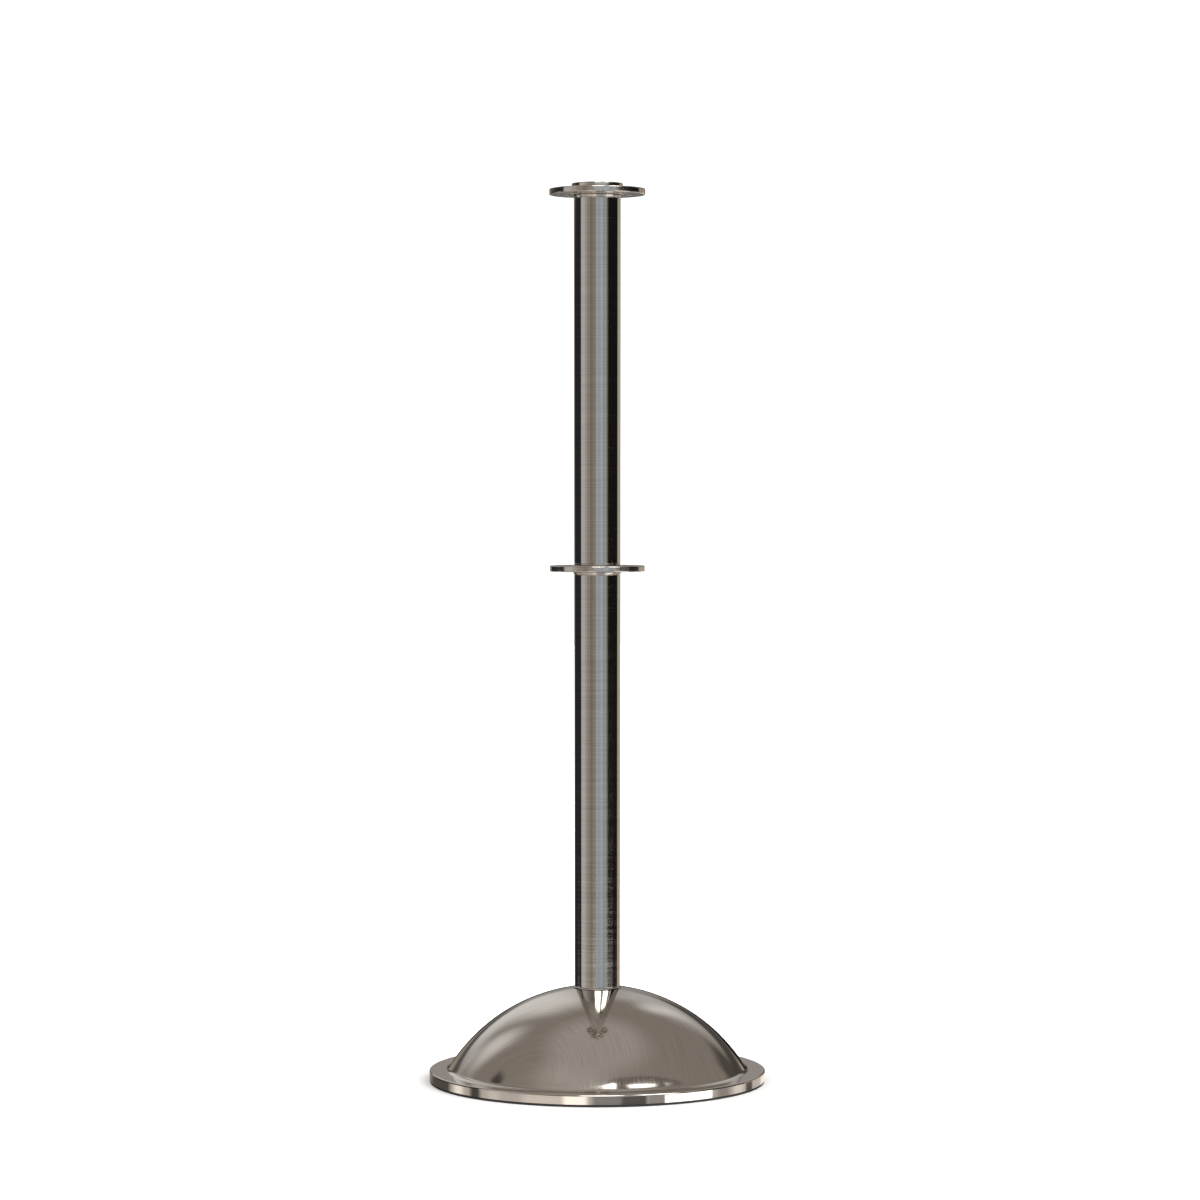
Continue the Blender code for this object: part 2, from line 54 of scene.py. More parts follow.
GAP = 0.0003
SHEET = 0.0012  # thickness of the base cover
FLOOR_RING_WIDTH = 0.016
FLOOR_RING_RIB = (0.010, 0.007)  # inner and outer distance of the rib from the cover's side
FLANGE_TOP = 0.0135
DOME_RADIUS = 0.1958
FOOT_FILLET = 0.0065
COVER_EDGE_ROUND = 0.0015
SEAT_EDGE_RADIUS = 0.0285
TUBE_WALL = 0.0015
CHAMFER = 0.001
COLLAR_THICKNESS = 0.0027
COLLAR_RADIUS = 0.0261
COLLAR_SIDE = 0.0012  # height of the collar's upright side, under the ring
JOURNAL_RADIUS = 0.022
SOCKET_RADIUS = 0.016
SOCKET_DEPTH = 0.010
ROD_HOLE_RADIUS = 0.0067
ROD_RADIUS = 0.0059
RING_EDGE_ROUND = 0.001
RING_LAND_HEIGHT = 0.00025
RING_LAND_RADIUS = 0.029
GLIDE_POCKET_RADIUS = 0.0249
GLIDE_POCKET_DEPTH = 0.0012
HOOK_HOLES = 8
HOOK_HOLE_RADIUS = 0.006
HOOK_PITCH_RADIUS = 0.0365
HOOK_HOLE_CHAMFER = 0.0006
CAP_THICKNESS = 0.0052
CAP_EDGE_ROUND = 0.0008
CAP_THREAD_RUNOUT = 0.001

TUBE_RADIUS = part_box("lower_tube")[1].x
SPIGOT_RADIUS = TUBE_RADIUS - TUBE_WALL - GAP
BOSS_RADIUS = SOCKET_RADIUS - GAP
BORE_RADIUS = JOURNAL_RADIUS + GAP
BASE_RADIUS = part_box("dome_cover")[1].x

WIDE = 256  # facets around the base
ROUND = 192  # facets around the tubes, rings and cap
SMALL = 48  # facets around holes
SUPPORT = 0.0004  # distance from a corner to the loop that keeps the flat beside it flat


# Turned shapes ---------------------------------------------------------------------------


def arc(centre_r, centre_z, radius, start, end, steps=8):
    """Points along a circle in a section, from one angle to another in degrees."""
    points = []
    for i in range(steps + 1):
        angle = math.radians(start + (end - start) * i / steps)
        points.append((centre_r + radius * math.cos(angle), centre_z + radius * math.sin(angle)))
    return points


def supported(profile, closed):
    """The profile with an extra point beside each corner, on every stretch long enough."""
    corners = [Vector(point) for point in profile]
    count = len(corners)
    result = []
    for i, corner in enumerate(corners):
        to_last = corners[i - 1] - corner
        to_next = corners[(i + 1) % count] - corner
        bent = math.pi - to_last.angle(to_next) > math.radians(2)
        inside = closed or 0 < i < count - 1
        if bent and inside and to_last.length > 4 * SUPPORT:
            result.append(corner + to_last.normalized() * SUPPORT)
        result.append(corner)
        if bent and inside and to_next.length > 4 * SUPPORT:
            result.append(corner + to_next.normalized() * SUPPORT)
    return result


def lathe(name, profile, facets=ROUND, closed=True):
    """A turned object about the post's axis from (radius, height) points, outer side down."""
    points = supported(profile, closed)
    edges = [(i, i + 1) for i in range(len(points) - 1)]
    if closed:
        edges.append((len(points) - 1, 0))
    outline = bpy.data.meshes.new(name + "_outline")
    outline.from_pydata([(radius, 0.0, height) for radius, height in points], edges, [])
    obj = bpy.data.objects.new(name, outline)
    bpy.context.scene.collection.objects.link(obj)
    screw = obj.modifiers.new("Turn", "SCREW")
    screw.steps = facets
    screw.render_steps = facets
    screw.use_merge_vertices = True
    screw.merge_threshold = 1e-6
    apply_modifiers(obj)
    smooth(obj)
    return obj


def apply_modifiers(obj):
    depsgraph = bpy.context.evaluated_depsgraph_get()
    mesh = bpy.data.meshes.new_from_object(obj.evaluated_get(depsgraph))
    obj.modifiers.clear()
    obj.data = mesh


def smooth(obj):
    obj.data.shade_smooth()
    obj.data.set_sharp_from_angle(angle=math.radians(28))


def cut(obj, cutters):
    """Takes the cutters out of the object and removes them."""
    for cutter in cutters:
        modifier = obj.modifiers.new(cutter.name, "BOOLEAN")
        modifier.solver = "EXACT"
        modifier.object = cutter
    apply_modifiers(obj)
    for cutter in cutters:
        bpy.data.objects.remove(cutter, do_unlink=True)
    smooth(obj)


def dress(obj, material, slot, body, *nodes):
    """Finishes a piece: its material, the body it rides on and what it stands for; the slot is not
    used.
    """
    obj.data.materials.clear()
    obj.data.materials.append(material)
    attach(obj, body)
    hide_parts(*nodes)
    return obj


# Node graphs -----------------------------------------------------------------------------


class Graph:
    """Short calls for building a node tree. A value may be a number, a tuple or a socket."""

    def __init__(self, tree):
        self.tree = tree

    def put(self, socket, value):
        if isinstance(value, bpy.types.NodeSocket):
            self.tree.links.new(value, socket)
        else:
            socket.default_value = value

    def node(self, kind, inputs=None, **settings):
        made = self.tree.nodes.new(kind)
        for key, value in settings.items():
            setattr(made, key, value)
        for key, value in (inputs or {}).items():
            self.put(made.inputs[key], value)
        return made

    def math(self, operation, *values):
        made = self.node("ShaderNodeMath", operation=operation)
        for socket, value in zip(made.inputs, values):
            self.put(socket, value)
        return made.outputs[0]

    def smoothstep(self, value, start, end, low=0.0, high=1.0):
        """low before start, high after end, and an S curve between."""
        inputs = {"Value": value, "From Min": start, "From Max": end, "To Min": low, "To Max": high}
        return self.node("ShaderNodeMapRange", inputs, interpolation_type="SMOOTHSTEP").outputs[0]

    def spread(self, value, low, high):
        """Takes 0..1 to low..high."""
        inputs = {"Value": value, "To Min": low, "To Max": high}
        return self.node("ShaderNodeMapRange", inputs).outputs[0]

    def mix(self, factor, first, second):
        made = self.node("ShaderNodeMix", data_type="RGBA")
        self.put(made.inputs["Factor"], factor)
        self.put(made.inputs["A"], first)
        self.put(made.inputs["B"], second)
        return made.outputs["Result"]

    def noise(self, vector, scale, detail=2.0, rough=0.5):
        inputs = {"Vector": vector, "Scale": scale, "Detail": detail, "Roughness": rough}
        return self.node("ShaderNodeTexNoise", inputs).outputs["Fac"]

    def stretch(self, vector, scale):
        return self.node("ShaderNodeMapping", {"Vector": vector, "Scale": scale}).outputs[0]

    def vector(self, operation, first, second):
        made = self.node("ShaderNodeVectorMath", operation=operation)
        self.put(made.inputs[0], first)
        self.put(made.inputs[1], second)
        return made.outputs["Vector"]

    def dot(self, first, second):
        made = self.node("ShaderNodeVectorMath", operation="DOT_PRODUCT")
        self.put(made.inputs[0], first)
        self.put(made.inputs[1], second)
        return made.outputs["Value"]

    def length(self, vector):
        return self.node("ShaderNodeVectorMath", {0: vector}, operation="LENGTH").outputs["Value"]

    def combine(self, x, y, z):
        return self.node("ShaderNodeCombineXYZ", {"X": x, "Y": y, "Z": z}).outputs[0]


# Metal finishes --------------------------------------------------------------------------


def new_material(name):
    made = bpy.data.materials.new(name)
    made.use_nodes = True
    graph = Graph(made.node_tree)
    shader = made.node_tree.nodes["Principled BSDF"]
    return made, graph, shader


Polar = namedtuple("Polar", "point radius across along height")


def polar(graph):
    """The object-space point, its distance from the axis, its unit direction and its height."""
    point = graph.node("ShaderNodeTexCoord").outputs["Object"]
    x, y, z = graph.node("ShaderNodeSeparateXYZ", {"Vector": point}).outputs
    radius = graph.length(graph.combine(x, y, 0.0))
    safe = graph.math("MAXIMUM", radius, 1e-4)
    return Polar(point, radius, graph.math("DIVIDE", x, safe), graph.math("DIVIDE", y, safe), z)


def lathe_marks(graph, place, marks_per_metre):
    """Fine circles about the axis, as turning and wheel polishing leave them."""
    rings = graph.combine(
        graph.math("MULTIPLY", place.radius, marks_per_metre),
        graph.math("MULTIPLY", place.height, marks_per_metre),
        graph.math("MULTIPLY", place.across, 0.6),
    )
    return graph.noise(rings, 1.0, 2.0, 0.6)


def metal(graph, shader, colour, roughness, lines, tone=0.05, blur=0.05, bump=0.0, anisotropic=0.0):
    """A metal whose tone, roughness and relief follow the brush lines (0..1, mean 0.5)."""
    dark = tuple(channel * (1 - tone) for channel in colour) + (1.0,)
    light = tuple(min(1.0, channel * (1 + tone)) for channel in colour) + (1.0,)
    graph.put(shader.inputs["Base Color"], graph.mix(lines, dark, light))
    graph.put(shader.inputs["Metallic"], 1.0)
    graph.put(shader.inputs["Roughness"], graph.spread(lines, roughness - blur, roughness + blur))
    if bump:
        inputs = {"Height": lines, "Strength": bump, "Distance": 0.0002}
        graph.put(shader.inputs["Normal"], graph.node("ShaderNodeBump", inputs).outputs[0])
    if anisotropic:
        tangent = graph.node("ShaderNodeTangent", direction_type="RADIAL", axis="Z")
        graph.put(shader.inputs["Tangent"], tangent.outputs[0])
        graph.put(shader.inputs["Anisotropic"], anisotropic)
        graph.put(shader.inputs["Anisotropic Rotation"], 0.25)


TUBE_COLOUR = (0.60, 0.58, 0.55)
COVER_COLOUR = (0.61, 0.575, 0.535)
RING_COLOUR = (0.62, 0.59, 0.555)
HUB_COLOUR = (0.62, 0.59, 0.56)
ZINC_COLOUR = (0.62, 0.63, 0.65)
FLANGE_START = 0.163  # radius where the dome's strokes give way to the flange's circles
RIM_START = BASE_RADIUS - COVER_EDGE_ROUND / 3  # radius where the bright rim begins
FLANGE_MARKS_PER_METRE = 1500.0
TURNED_MARKS_PER_METRE = 1600.0
FLANGE_BORDER = 0.003
RIM_BORDER = 0.0003
FINE_HAIRLINES = (18.0, 18.0, 900.0)  # noise cells per metre along each axis
BROAD_HAIRLINES = (9.0, 9.0, 200.0)
BROAD_SHARE = 0.3
ZINC_CLOUDS = 350.0  # noise cells per metre, here and below
IRON_GRAIN = 900.0
IRON_PATCHES = 60.0
RUBBER_GRAIN = 1500.0
NYLON_GRAIN = 700.0


def brushed_tube():
    """Fine hairlines around the tube, so that reflections smear along it but not across."""
    made, graph, shader = new_material("tube_brushed")
    point = graph.node("ShaderNodeTexCoord").outputs["Object"]
    fine = graph.noise(graph.stretch(point, FINE_HAIRLINES), 1.0, 3.0, 0.7)
    broad = graph.noise(graph.stretch(point, BROAD_HAIRLINES), 1.0, 2.0, 0.5)
    fine = graph.math("MULTIPLY", fine, 1 - BROAD_SHARE)
    lines = graph.math("ADD", fine, graph.math("MULTIPLY", broad, BROAD_SHARE))
    lines = graph.smoothstep(lines, 0.3, 0.7)
    metal(graph, shader, TUBE_COLOUR, 0.065, lines, tone=0.09, blur=0.02, anisotropic=0.8)
    return made


# The dome's polishing strokes are arcs about points outside it. Bearings are in degrees around
# the axis, from the front to the right: of the point, and of the middle of the strokes' share.
Sweep = namedtuple("Sweep", "bearing reach middle half_width")
SWEEPS = [Sweep(-35, 0.21, 11, 36), Sweep(-20, 0.44, -49, 24)]
SWEEP_REPEATS = 3
SWEEP_BORDER = 4
STROKES_PER_METRE = 800
STROKE_LENGTH = math.radians(15)


def belt_strokes(graph, point, bearing):
    """Curved hairlines in adjoining sweeps: their tone, and the direction across them."""
    lines = (0.5, 0.5, 0.5, 1.0)
    across = (1.0, 0.0, 0.0, 1.0)
    for i in range(SWEEP_REPEATS * len(SWEEPS)):
        sweep = SWEEPS[i % len(SWEEPS)]
        turn = 360 * (i // len(SWEEPS)) / SWEEP_REPEATS
        angle = math.radians(sweep.bearing + turn)
        outward = Vector((math.sin(angle), -math.cos(angle), 0.0))
        sideways = Vector((outward.y, -outward.x, 0.0))
        offset = graph.vector("SUBTRACT", point, outward * sweep.reach)
        offset = graph.vector("MULTIPLY", offset, (1.0, 1.0, 0.0))
        along = graph.math("ARCTAN2", graph.dot(offset, sideways), graph.dot(offset, -outward))
        place = graph.combine(
            graph.math("MULTIPLY", graph.length(offset), STROKES_PER_METRE),
            graph.math("DIVIDE", along, STROKE_LENGTH),
            float(i * 9),
        )
        strokes = graph.noise(place, 1.0, 3.0, 0.7)
        off = graph.math("WRAP", graph.math("SUBTRACT", bearing, sweep.middle + turn), 180.0, -180.0)
        reach = sweep.half_width + SWEEP_BORDER / 2
        share = graph.smoothstep(graph.math("ABSOLUTE", off), reach, reach - SWEEP_BORDER)
        lines = graph.mix(share, lines, strokes)
        across = graph.mix(share, across, offset)
    return lines, across


def satin_cover():
    """Dome polished by belt, flange turned, and a brighter rim with marks around it."""
    made, graph, shader = new_material("cover_satin")
    place = polar(graph)
    bearing = graph.math("ARCTAN2", place.across, graph.math("MULTIPLY", place.along, -1.0))
    strokes, smear = belt_strokes(graph, place.point, graph.math("DEGREES", bearing))
    flange = graph.smoothstep(place.radius, FLANGE_START, FLANGE_START + FLANGE_BORDER)
    rim = graph.smoothstep(place.radius, RIM_START, RIM_START + RIM_BORDER)
    lines = graph.mix(flange, strokes, lathe_marks(graph, place, FLANGE_MARKS_PER_METRE))
    lines = graph.smoothstep(lines, 0.28, 0.72)
    metal(graph, shader, COVER_COLOUR, 0.085, lines, tone=0.08, blur=0.02)
    smear = graph.mix(flange, smear, graph.combine(place.across, place.along, 0.0))
    smear = graph.mix(rim, smear, (0.0, 0.0, 1.0, 1.0))
    graph.put(shader.inputs["Tangent"], smear)
    graph.put(shader.inputs["Anisotropic"], 0.3)
    satin = shader.inputs["Roughness"].links[0].from_socket
    brighter = graph.math("MULTIPLY", satin, graph.spread(rim, 1.0, 0.6))
    graph.put(shader.inputs["Roughness"], brighter)
    return made


def turned_metal(name, colour, roughness):
    """Concentric tool marks on the faces, hairlines around the edge."""
    made, graph, shader = new_material(name)
    marks = lathe_marks(graph, polar(graph), TURNED_MARKS_PER_METRE)
    fine = graph.smoothstep(marks, 0.3, 0.7)
    metal(graph, shader, colour, roughness, fine, tone=0.12, blur=0.04, anisotropic=0.6)
    return made


def zinc_plate():
    made, graph, shader = new_material("zinc_plated")
    point = graph.node("ShaderNodeTexCoord").outputs["Object"]
    cloudy = graph.noise(point, ZINC_CLOUDS, 3.0, 0.6)
    metal(graph, shader, ZINC_COLOUR, 0.36, cloudy, tone=0.10, blur=0.08, bump=0.05)
    return made


def cast_iron():
    made, graph, shader = new_material("cast_iron_painted")
    point = graph.node("ShaderNodeTexCoord").outputs["Object"]
    grain = graph.noise(point, IRON_GRAIN, 4.0, 0.6)
    patches = graph.noise(point, IRON_PATCHES, 3.0, 0.5)
    shade = graph.mix(patches, (0.035, 0.035, 0.04, 1.0), (0.085, 0.083, 0.085, 1.0))
    graph.put(shader.inputs["Base Color"], shade)
    graph.put(shader.inputs["Metallic"], 0.2)
    graph.put(shader.inputs["Roughness"], graph.spread(grain, 0.55, 0.85))
    inputs = {"Height": grain, "Strength": 0.6, "Distance": 0.0006}
    graph.put(shader.inputs["Normal"], graph.node("ShaderNodeBump", inputs).outputs[0])
    return made


def rubber():
    made, graph, shader = new_material("black_rubber")
    point = graph.node("ShaderNodeTexCoord").outputs["Object"]
    grain = graph.noise(point, RUBBER_GRAIN, 3.0, 0.6)
    shade = graph.mix(grain, (0.012, 0.012, 0.013, 1.0), (0.03, 0.03, 0.031, 1.0))
    graph.put(shader.inputs["Base Color"], shade)
    graph.put(shader.inputs["Roughness"], graph.spread(grain, 0.6, 0.85))
    inputs = {"Height": grain, "Strength": 0.3, "Distance": 0.0003}
    graph.put(shader.inputs["Normal"], graph.node("ShaderNodeBump", inputs).outputs[0])
    return made


def nylon():
    made, graph, shader = new_material("white_nylon")
    point = graph.node("ShaderNodeTexCoord").outputs["Object"]
    grain = graph.noise(point, NYLON_GRAIN, 2.0, 0.5)
    shade = graph.mix(grain, (0.74, 0.73, 0.69, 1.0), (0.84, 0.83, 0.79, 1.0))
    graph.put(shader.inputs["Base Color"], shade)
    graph.put(shader.inputs["Roughness"], graph.spread(grain, 0.42, 0.58))
    graph.put(shader.inputs["Subsurface Weight"], 0.1)
    return made


# Base ------------------------------------------------------------------------------------


def cover_outline(inset, seat_z, skirt_z):
    """The cover's section from the rod hole to the skirt, moved inward by inset."""
    centre_z = seat_z - math.sqrt(DOME_RADIUS**2 - SEAT_EDGE_RADIUS**2)
    sphere = DOME_RADIUS - inset
    fillet = FOOT_FILLET + inset
    fillet_z = FLANGE_TOP + FOOT_FILLET
    fillet_r = math.sqrt((DOME_RADIUS + FOOT_FILLET) ** 2 - (fillet_z - centre_z) ** 2)
    foot_angle = math.degrees(math.atan2(fillet_z - centre_z, fillet_r))
    inner_seat_z = seat_z - inset
    seat_edge = math.sqrt(sphere**2 - (inner_seat_z - centre_z) ** 2)
    seat_angle = math.degrees(math.acos(seat_edge / sphere))
    edge_r = BASE_RADIUS - COVER_EDGE_ROUND
    edge_z = FLANGE_TOP - COVER_EDGE_ROUND
    outline = [(ROD_HOLE_RADIUS, inner_seat_z)]
    outline += arc(0.0, centre_z, sphere, seat_angle, foot_angle, 48)
    outline += arc(fillet_r, fillet_z, fillet, 180 + foot_angle, 270, 12)[1:]
    outline += arc(edge_r, edge_z, COVER_EDGE_ROUND - inset, 90, 0, 6)
    outline.append((BASE_RADIUS - inset, skirt_z))
    return outline


def make_cover(material):
    low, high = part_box("dome_cover")
    outer = cover_outline(0.0, high.z, low.z)
    inner = cover_outline(SHEET, high.z, low.z)
    cover = lathe("dome_cover_fine", outer + inner[::-1], WIDE)
    dress(cover, material, "cover_steel", "post", "dome_cover")


def make_floor_ring(material):
    low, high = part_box("floor_ring")
    outer = high.x
    rib_inner, rib_outer = (BASE_RADIUS - offset for offset in FLOOR_RING_RIB)
    inner = BASE_RADIUS - FLOOR_RING_WIDTH
    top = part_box("dome_cover")[0].z - GAP
    edge = 0.0005
    profile = [
        (rib_inner, high.z),
        (rib_outer, high.z),
        (rib_outer, top),
        *arc(outer - edge, top - edge, edge, 90, 0, 4),
        *arc(outer - edge, low.z + edge, edge, 0, -90, 4),
        (inner, low.z),
        (inner, top),
        (rib_inner, top),
    ]
    ring = lathe("floor_ring_fine", profile, WIDE)
    dress(ring, material, "rubber", "post", "floor_ring")


# Post ------------------------------------------------------------------------------------


def make_foot_plug(material):
    low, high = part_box("foot_plug")
    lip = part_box("lower_tube")[0].z - GAP
    edge = 0.0002
    profile = [
        (ROD_HOLE_RADIUS, high.z),
        (SPIGOT_RADIUS - CHAMFER, high.z),
        (SPIGOT_RADIUS, high.z - CHAMFER),
        (SPIGOT_RADIUS, lip),
        (TUBE_RADIUS + edge, lip),
        (TUBE_RADIUS + 2 * edge, lip - edge),
        (high.x, low.z + 3 * edge),
        (high.x, low.z),
        (ROD_HOLE_RADIUS, low.z),
    ]
    plug = lathe("foot_plug_fine", profile)
    dress(plug, material, "turned_steel", "post", "foot_plug")


def make_tube(node, material):
    low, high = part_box(node)
    inner = high.x - TUBE_WALL
    edge = 0.0002
    profile = [
        (inner, high.z),
        *arc(high.x - edge, high.z - edge, edge, 90, 0, 3),
        *arc(high.x - edge, low.z + edge, edge, 0, -90, 3),
        (inner, low.z),
    ]
    tube = lathe(node + "_fine", profile)
    dress(tube, material, "tube_steel", "post", node)


def make_hub(node, ring, material):
    """Spigot, collar and journal. The collar's top face is one gap under the ring's lower face."""
    low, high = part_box(node)
    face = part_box(ring)[0].z - GAP
    bottom = face - COLLAR_THICKNESS
    edge = 0.0003
    profile = [
        (SOCKET_RADIUS, high.z),
        (JOURNAL_RADIUS, high.z),
        (JOURNAL_RADIUS, face),
        *arc(COLLAR_RADIUS - edge, face - edge, edge, 90, 0, 4),
        (COLLAR_RADIUS, face - COLLAR_SIDE),
        (TUBE_RADIUS, bottom),
        (SPIGOT_RADIUS, bottom),
        (SPIGOT_RADIUS, low.z + CHAMFER),
        (SPIGOT_RADIUS - CHAMFER, low.z),
        (ROD_HOLE_RADIUS, low.z),
        (ROD_HOLE_RADIUS, face - SOCKET_DEPTH),
        (SOCKET_RADIUS, face - SOCKET_DEPTH),
    ]
    hub = lathe(node + "_fine", profile)
    dress(hub, material, "turned_steel", "post", node)


def make_upper_plug(material):
    low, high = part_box("upper_tube_plug")
    flange_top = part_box("upper_tube")[0].z - GAP
    flange_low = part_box("middle_ring")[1].z + GAP
    edge = 0.0002
    profile = [
        (ROD_HOLE_RADIUS, high.z),
        (SPIGOT_RADIUS - CHAMFER, high.z),
        (SPIGOT_RADIUS, high.z - CHAMFER),
        (SPIGOT_RADIUS, flange_top),
        (high.x - edge, flange_top),
        (high.x, flange_top - edge),
        (high.x, flange_low + edge),
        (high.x - edge, flange_low),
        (BOSS_RADIUS, flange_low),
        (BOSS_RADIUS, low.z),
        (ROD_HOLE_RADIUS, low.z),
    ]
    plug = lathe("upper_tube_plug_fine", profile)
    dress(plug, material, "turned_steel", "post", "upper_tube_plug")


def make_cap(material):
    low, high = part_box("top_cap")
    disc_low = high.z - CAP_THICKNESS
    thread = ROD_RADIUS + GAP
    profile = [
        (0.0, high.z),
        *arc(high.x - CAP_EDGE_ROUND, high.z - CAP_EDGE_ROUND, CAP_EDGE_ROUND, 90, 0, 6),
        (high.x, disc_low + GAP),
        (high.x - GAP, disc_low),
        (BOSS_RADIUS, disc_low),
        (BOSS_RADIUS, low.z),
        (thread, low.z),
        (thread, disc_low - CAP_THREAD_RUNOUT),
        (0.0, disc_low - CAP_THREAD_RUNOUT),
    ]
    cap = lathe("top_cap_fine", profile, closed=False)
    dress(cap, material, "cap_steel", "post", "top_cap")


# Hook rings ------------------------------------------------------------------------------


def make_ring(node, material):
    low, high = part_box(node)
    centre = (low.z + high.z) / 2
    land = (high.z - low.z) / 2
    face = land - RING_LAND_HEIGHT
    pocket = land - GLIDE_POCKET_DEPTH
    edge_r = high.x - RING_EDGE_ROUND
    edge_z = face - RING_EDGE_ROUND
    upper = [
        (BORE_RADIUS, pocket),
        (GLIDE_POCKET_RADIUS, pocket),
        (GLIDE_POCKET_RADIUS, land),
        (RING_LAND_RADIUS - RING_LAND_HEIGHT, land),
        (RING_LAND_RADIUS, face),
        *arc(edge_r, edge_z, RING_EDGE_ROUND, 90, 0, 6),
    ]
    section = upper + [(radius, -height) for radius, height in reversed(upper)]
    ring = lathe(node + "_fine", [(radius, centre + height) for radius, height in section])
    wide = HOOK_HOLE_RADIUS + HOOK_HOLE_CHAMFER + GAP
    bevel = face - HOOK_HOLE_CHAMFER
    hole = [
        (0.0, face + GAP),
        (wide, face + GAP),
        (HOOK_HOLE_RADIUS, bevel),
        (HOOK_HOLE_RADIUS, -bevel),
        (wide, -face - GAP),
        (0.0, -face - GAP),
    ]
    cutters = []
    for i in range(HOOK_HOLES):
        angle = math.tau * i / HOOK_HOLES
        cutter = lathe("hook_hole_" + str(i), hole, SMALL, closed=False)
        cutter.location.x = HOOK_PITCH_RADIUS * math.cos(angle)
        cutter.location.y = HOOK_PITCH_RADIUS * math.sin(angle)
        cutter.location.z = centre
        cutter.rotation_euler.z = angle + math.pi / SMALL
        cutters.append(cutter)
    cut(ring, cutters)
    dress(ring, material, "ring_steel", node, node)


def make_glide(node, material):
    low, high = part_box(node)
    edge = 0.0001
    profile = [
        (BORE_RADIUS, high.z),
        (high.x - edge, high.z),
        (high.x, high.z - edge),
        (high.x, low.z + edge),
        (high.x - edge, low.z),
        (BORE_RADIUS, low.z),
    ]
    glide = lathe(node + "_fine", profile)
    dress(glide, material, "nylon", "post", node)


def build_post():
    tube_steel = brushed_tube()
    cover_steel = satin_cover()
    ring_steel = turned_metal("ring_turned", RING_COLOUR, 0.16)
    cap_steel = turned_metal("cap_turned", RING_COLOUR, 0.16)
    hub_steel = turned_metal("hub_turned", HUB_COLOUR, 0.22)
    zinc = zinc_plate()
    iron = cast_iron()
    black = rubber()
    white = nylon()

    make_cover(cover_steel)
    make_floor_ring(black)
    make_foot_plug(hub_steel)
    for tube in ("lower_tube", "upper_tube"):
        make_tube(tube, tube_steel)
    for hub, ring in (("middle_hub", "middle_ring"), ("top_hub", "top_ring")):
        make_hub(hub, ring, hub_steel)
        make_ring(ring, ring_steel)
        make_glide(ring + "_lower_glide", white)
        make_glide(ring + "_upper_glide", white)
    make_upper_plug(hub_steel)
    make_cap(cap_steel)
    paint = {
        "base_weight": iron,
        "base_washer": zinc,
        "base_lock_washer": zinc,
        "base_nut": zinc,
        "anti_turn_pin": zinc,
        "tie_rod": zinc,
    }
    for node, material in paint.items():
        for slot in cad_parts[node].material_slots:
            slot.material = material


# Studio ----------------------------------------------------------------------------------

# A card is a soft-edged patch of the studio. Azimuth 0 is towards the camera and 90 is to the
# right, in degrees, like every width, edge and elevation. A card with no elevations fills its
# zone: the band around the horizon, the floor or what is above the band.
CARD_FIELDS = "azimuth half_width edge level tint low high soft"
Card = namedtuple("Card", CARD_FIELDS, defaults=(None, None, 0.0))
Window = namedtuple("Window", "left right bottom top level")

NEUTRAL = (1.0, 0.98, 0.955)
WARM = (1.0, 0.93, 0.86)
BROWN = (1.0, 0.89, 0.79)
TAN = (1.0, 0.83, 0.68)
COOL = (0.93, 0.98, 1.05)
BLUE = (0.91, 1.0, 1.09)

HORIZON_CARDS = [
    Card(-112, 24, 4, 0.028, COOL),
    Card(-158, 10, 8, 0.34, TAN),
    Card(141, 20, 7, 0.56, TAN),
    Card(180, 8, 6, 0.11, COOL),
    Card(-75, 13, 2, 0.60, NEUTRAL),
    Card(-56, 6, 4, 0.47, NEUTRAL),
    Card(-42, 9, 3, 0.37, TAN),
    Card(-29, 6, 3, 0.25, BROWN),
    Card(-16, 8, 4, 0.32, BROWN),
    Card(3, 11, 3, 0.50, BLUE),
    Card(22, 8, 2, 0.56, BLUE),
    Card(35, 6, 2, 0.42, BLUE),
    Card(44, 4, 2, 0.50, WARM),
    Card(51, 4, 5, 0.20, WARM),
]

FLOOR_CARDS = [
    Card(-163, 9, 6, 0.24, BROWN),
    Card(-139, 18, 8, 0.11, BROWN),
    Card(-110, 5, 8, 1.4, WARM),
    Card(-92, 5, 6, 0.10, BROWN),
    Card(-75, 5, 6, 0.86, WARM),
    Card(-36, 16, 10, 0.98, WARM),
    Card(-15, 8, 5, 1.9, WARM),
    Card(7, 10, 4, 0.32, NEUTRAL),
    Card(25, 9, 4, 0.12, BROWN),
    Card(41, 6, 3, 0.40, NEUTRAL),
    Card(66, 19, 2, 2.8, NEUTRAL),
    Card(96, 6, 8, 0.42, WARM),
    Card(113, 6, 8, 1.1, WARM),
    Card(128, 5, 4, 0.13, BROWN),
    Card(163, 12, 8, 1.15, WARM),
]

UPPER_CARDS = [
    Card(-30, 40, 50, 0.50, WARM, 50, 80, 20),
    Card(0, 180, 1, 0.45, WARM, 66, 95, 18),
    Card(-155, 16, 10, 0.55, NEUTRAL, 14, 24, 10),
    Card(-165, 12, 18, 0.82, NEUTRAL, 9, 48, 22),
    Card(-135, 8, 12, 0.80, NEUTRAL, 24, 44, 18),
    Card(-100, 5, 5, 0.08, BROWN, 30, 40, 5),
    Card(165, 13, 16, 0.54, NEUTRAL, 16, 38, 14),
    Card(160, 4, 8, 0.80, NEUTRAL, 24, 42, 12),
    Card(138, 8, 8, 0.10, BROWN, 10, 25, 8),
    Card(150, 24, 12, 0.08, BROWN, 5.5, 15, 4),
    Card(-148, 24, 12, 0.12, BROWN, 5.5, 12, 3),
    Card(180, 8, 6, 0.34, WARM, 4, 14, 6),
]

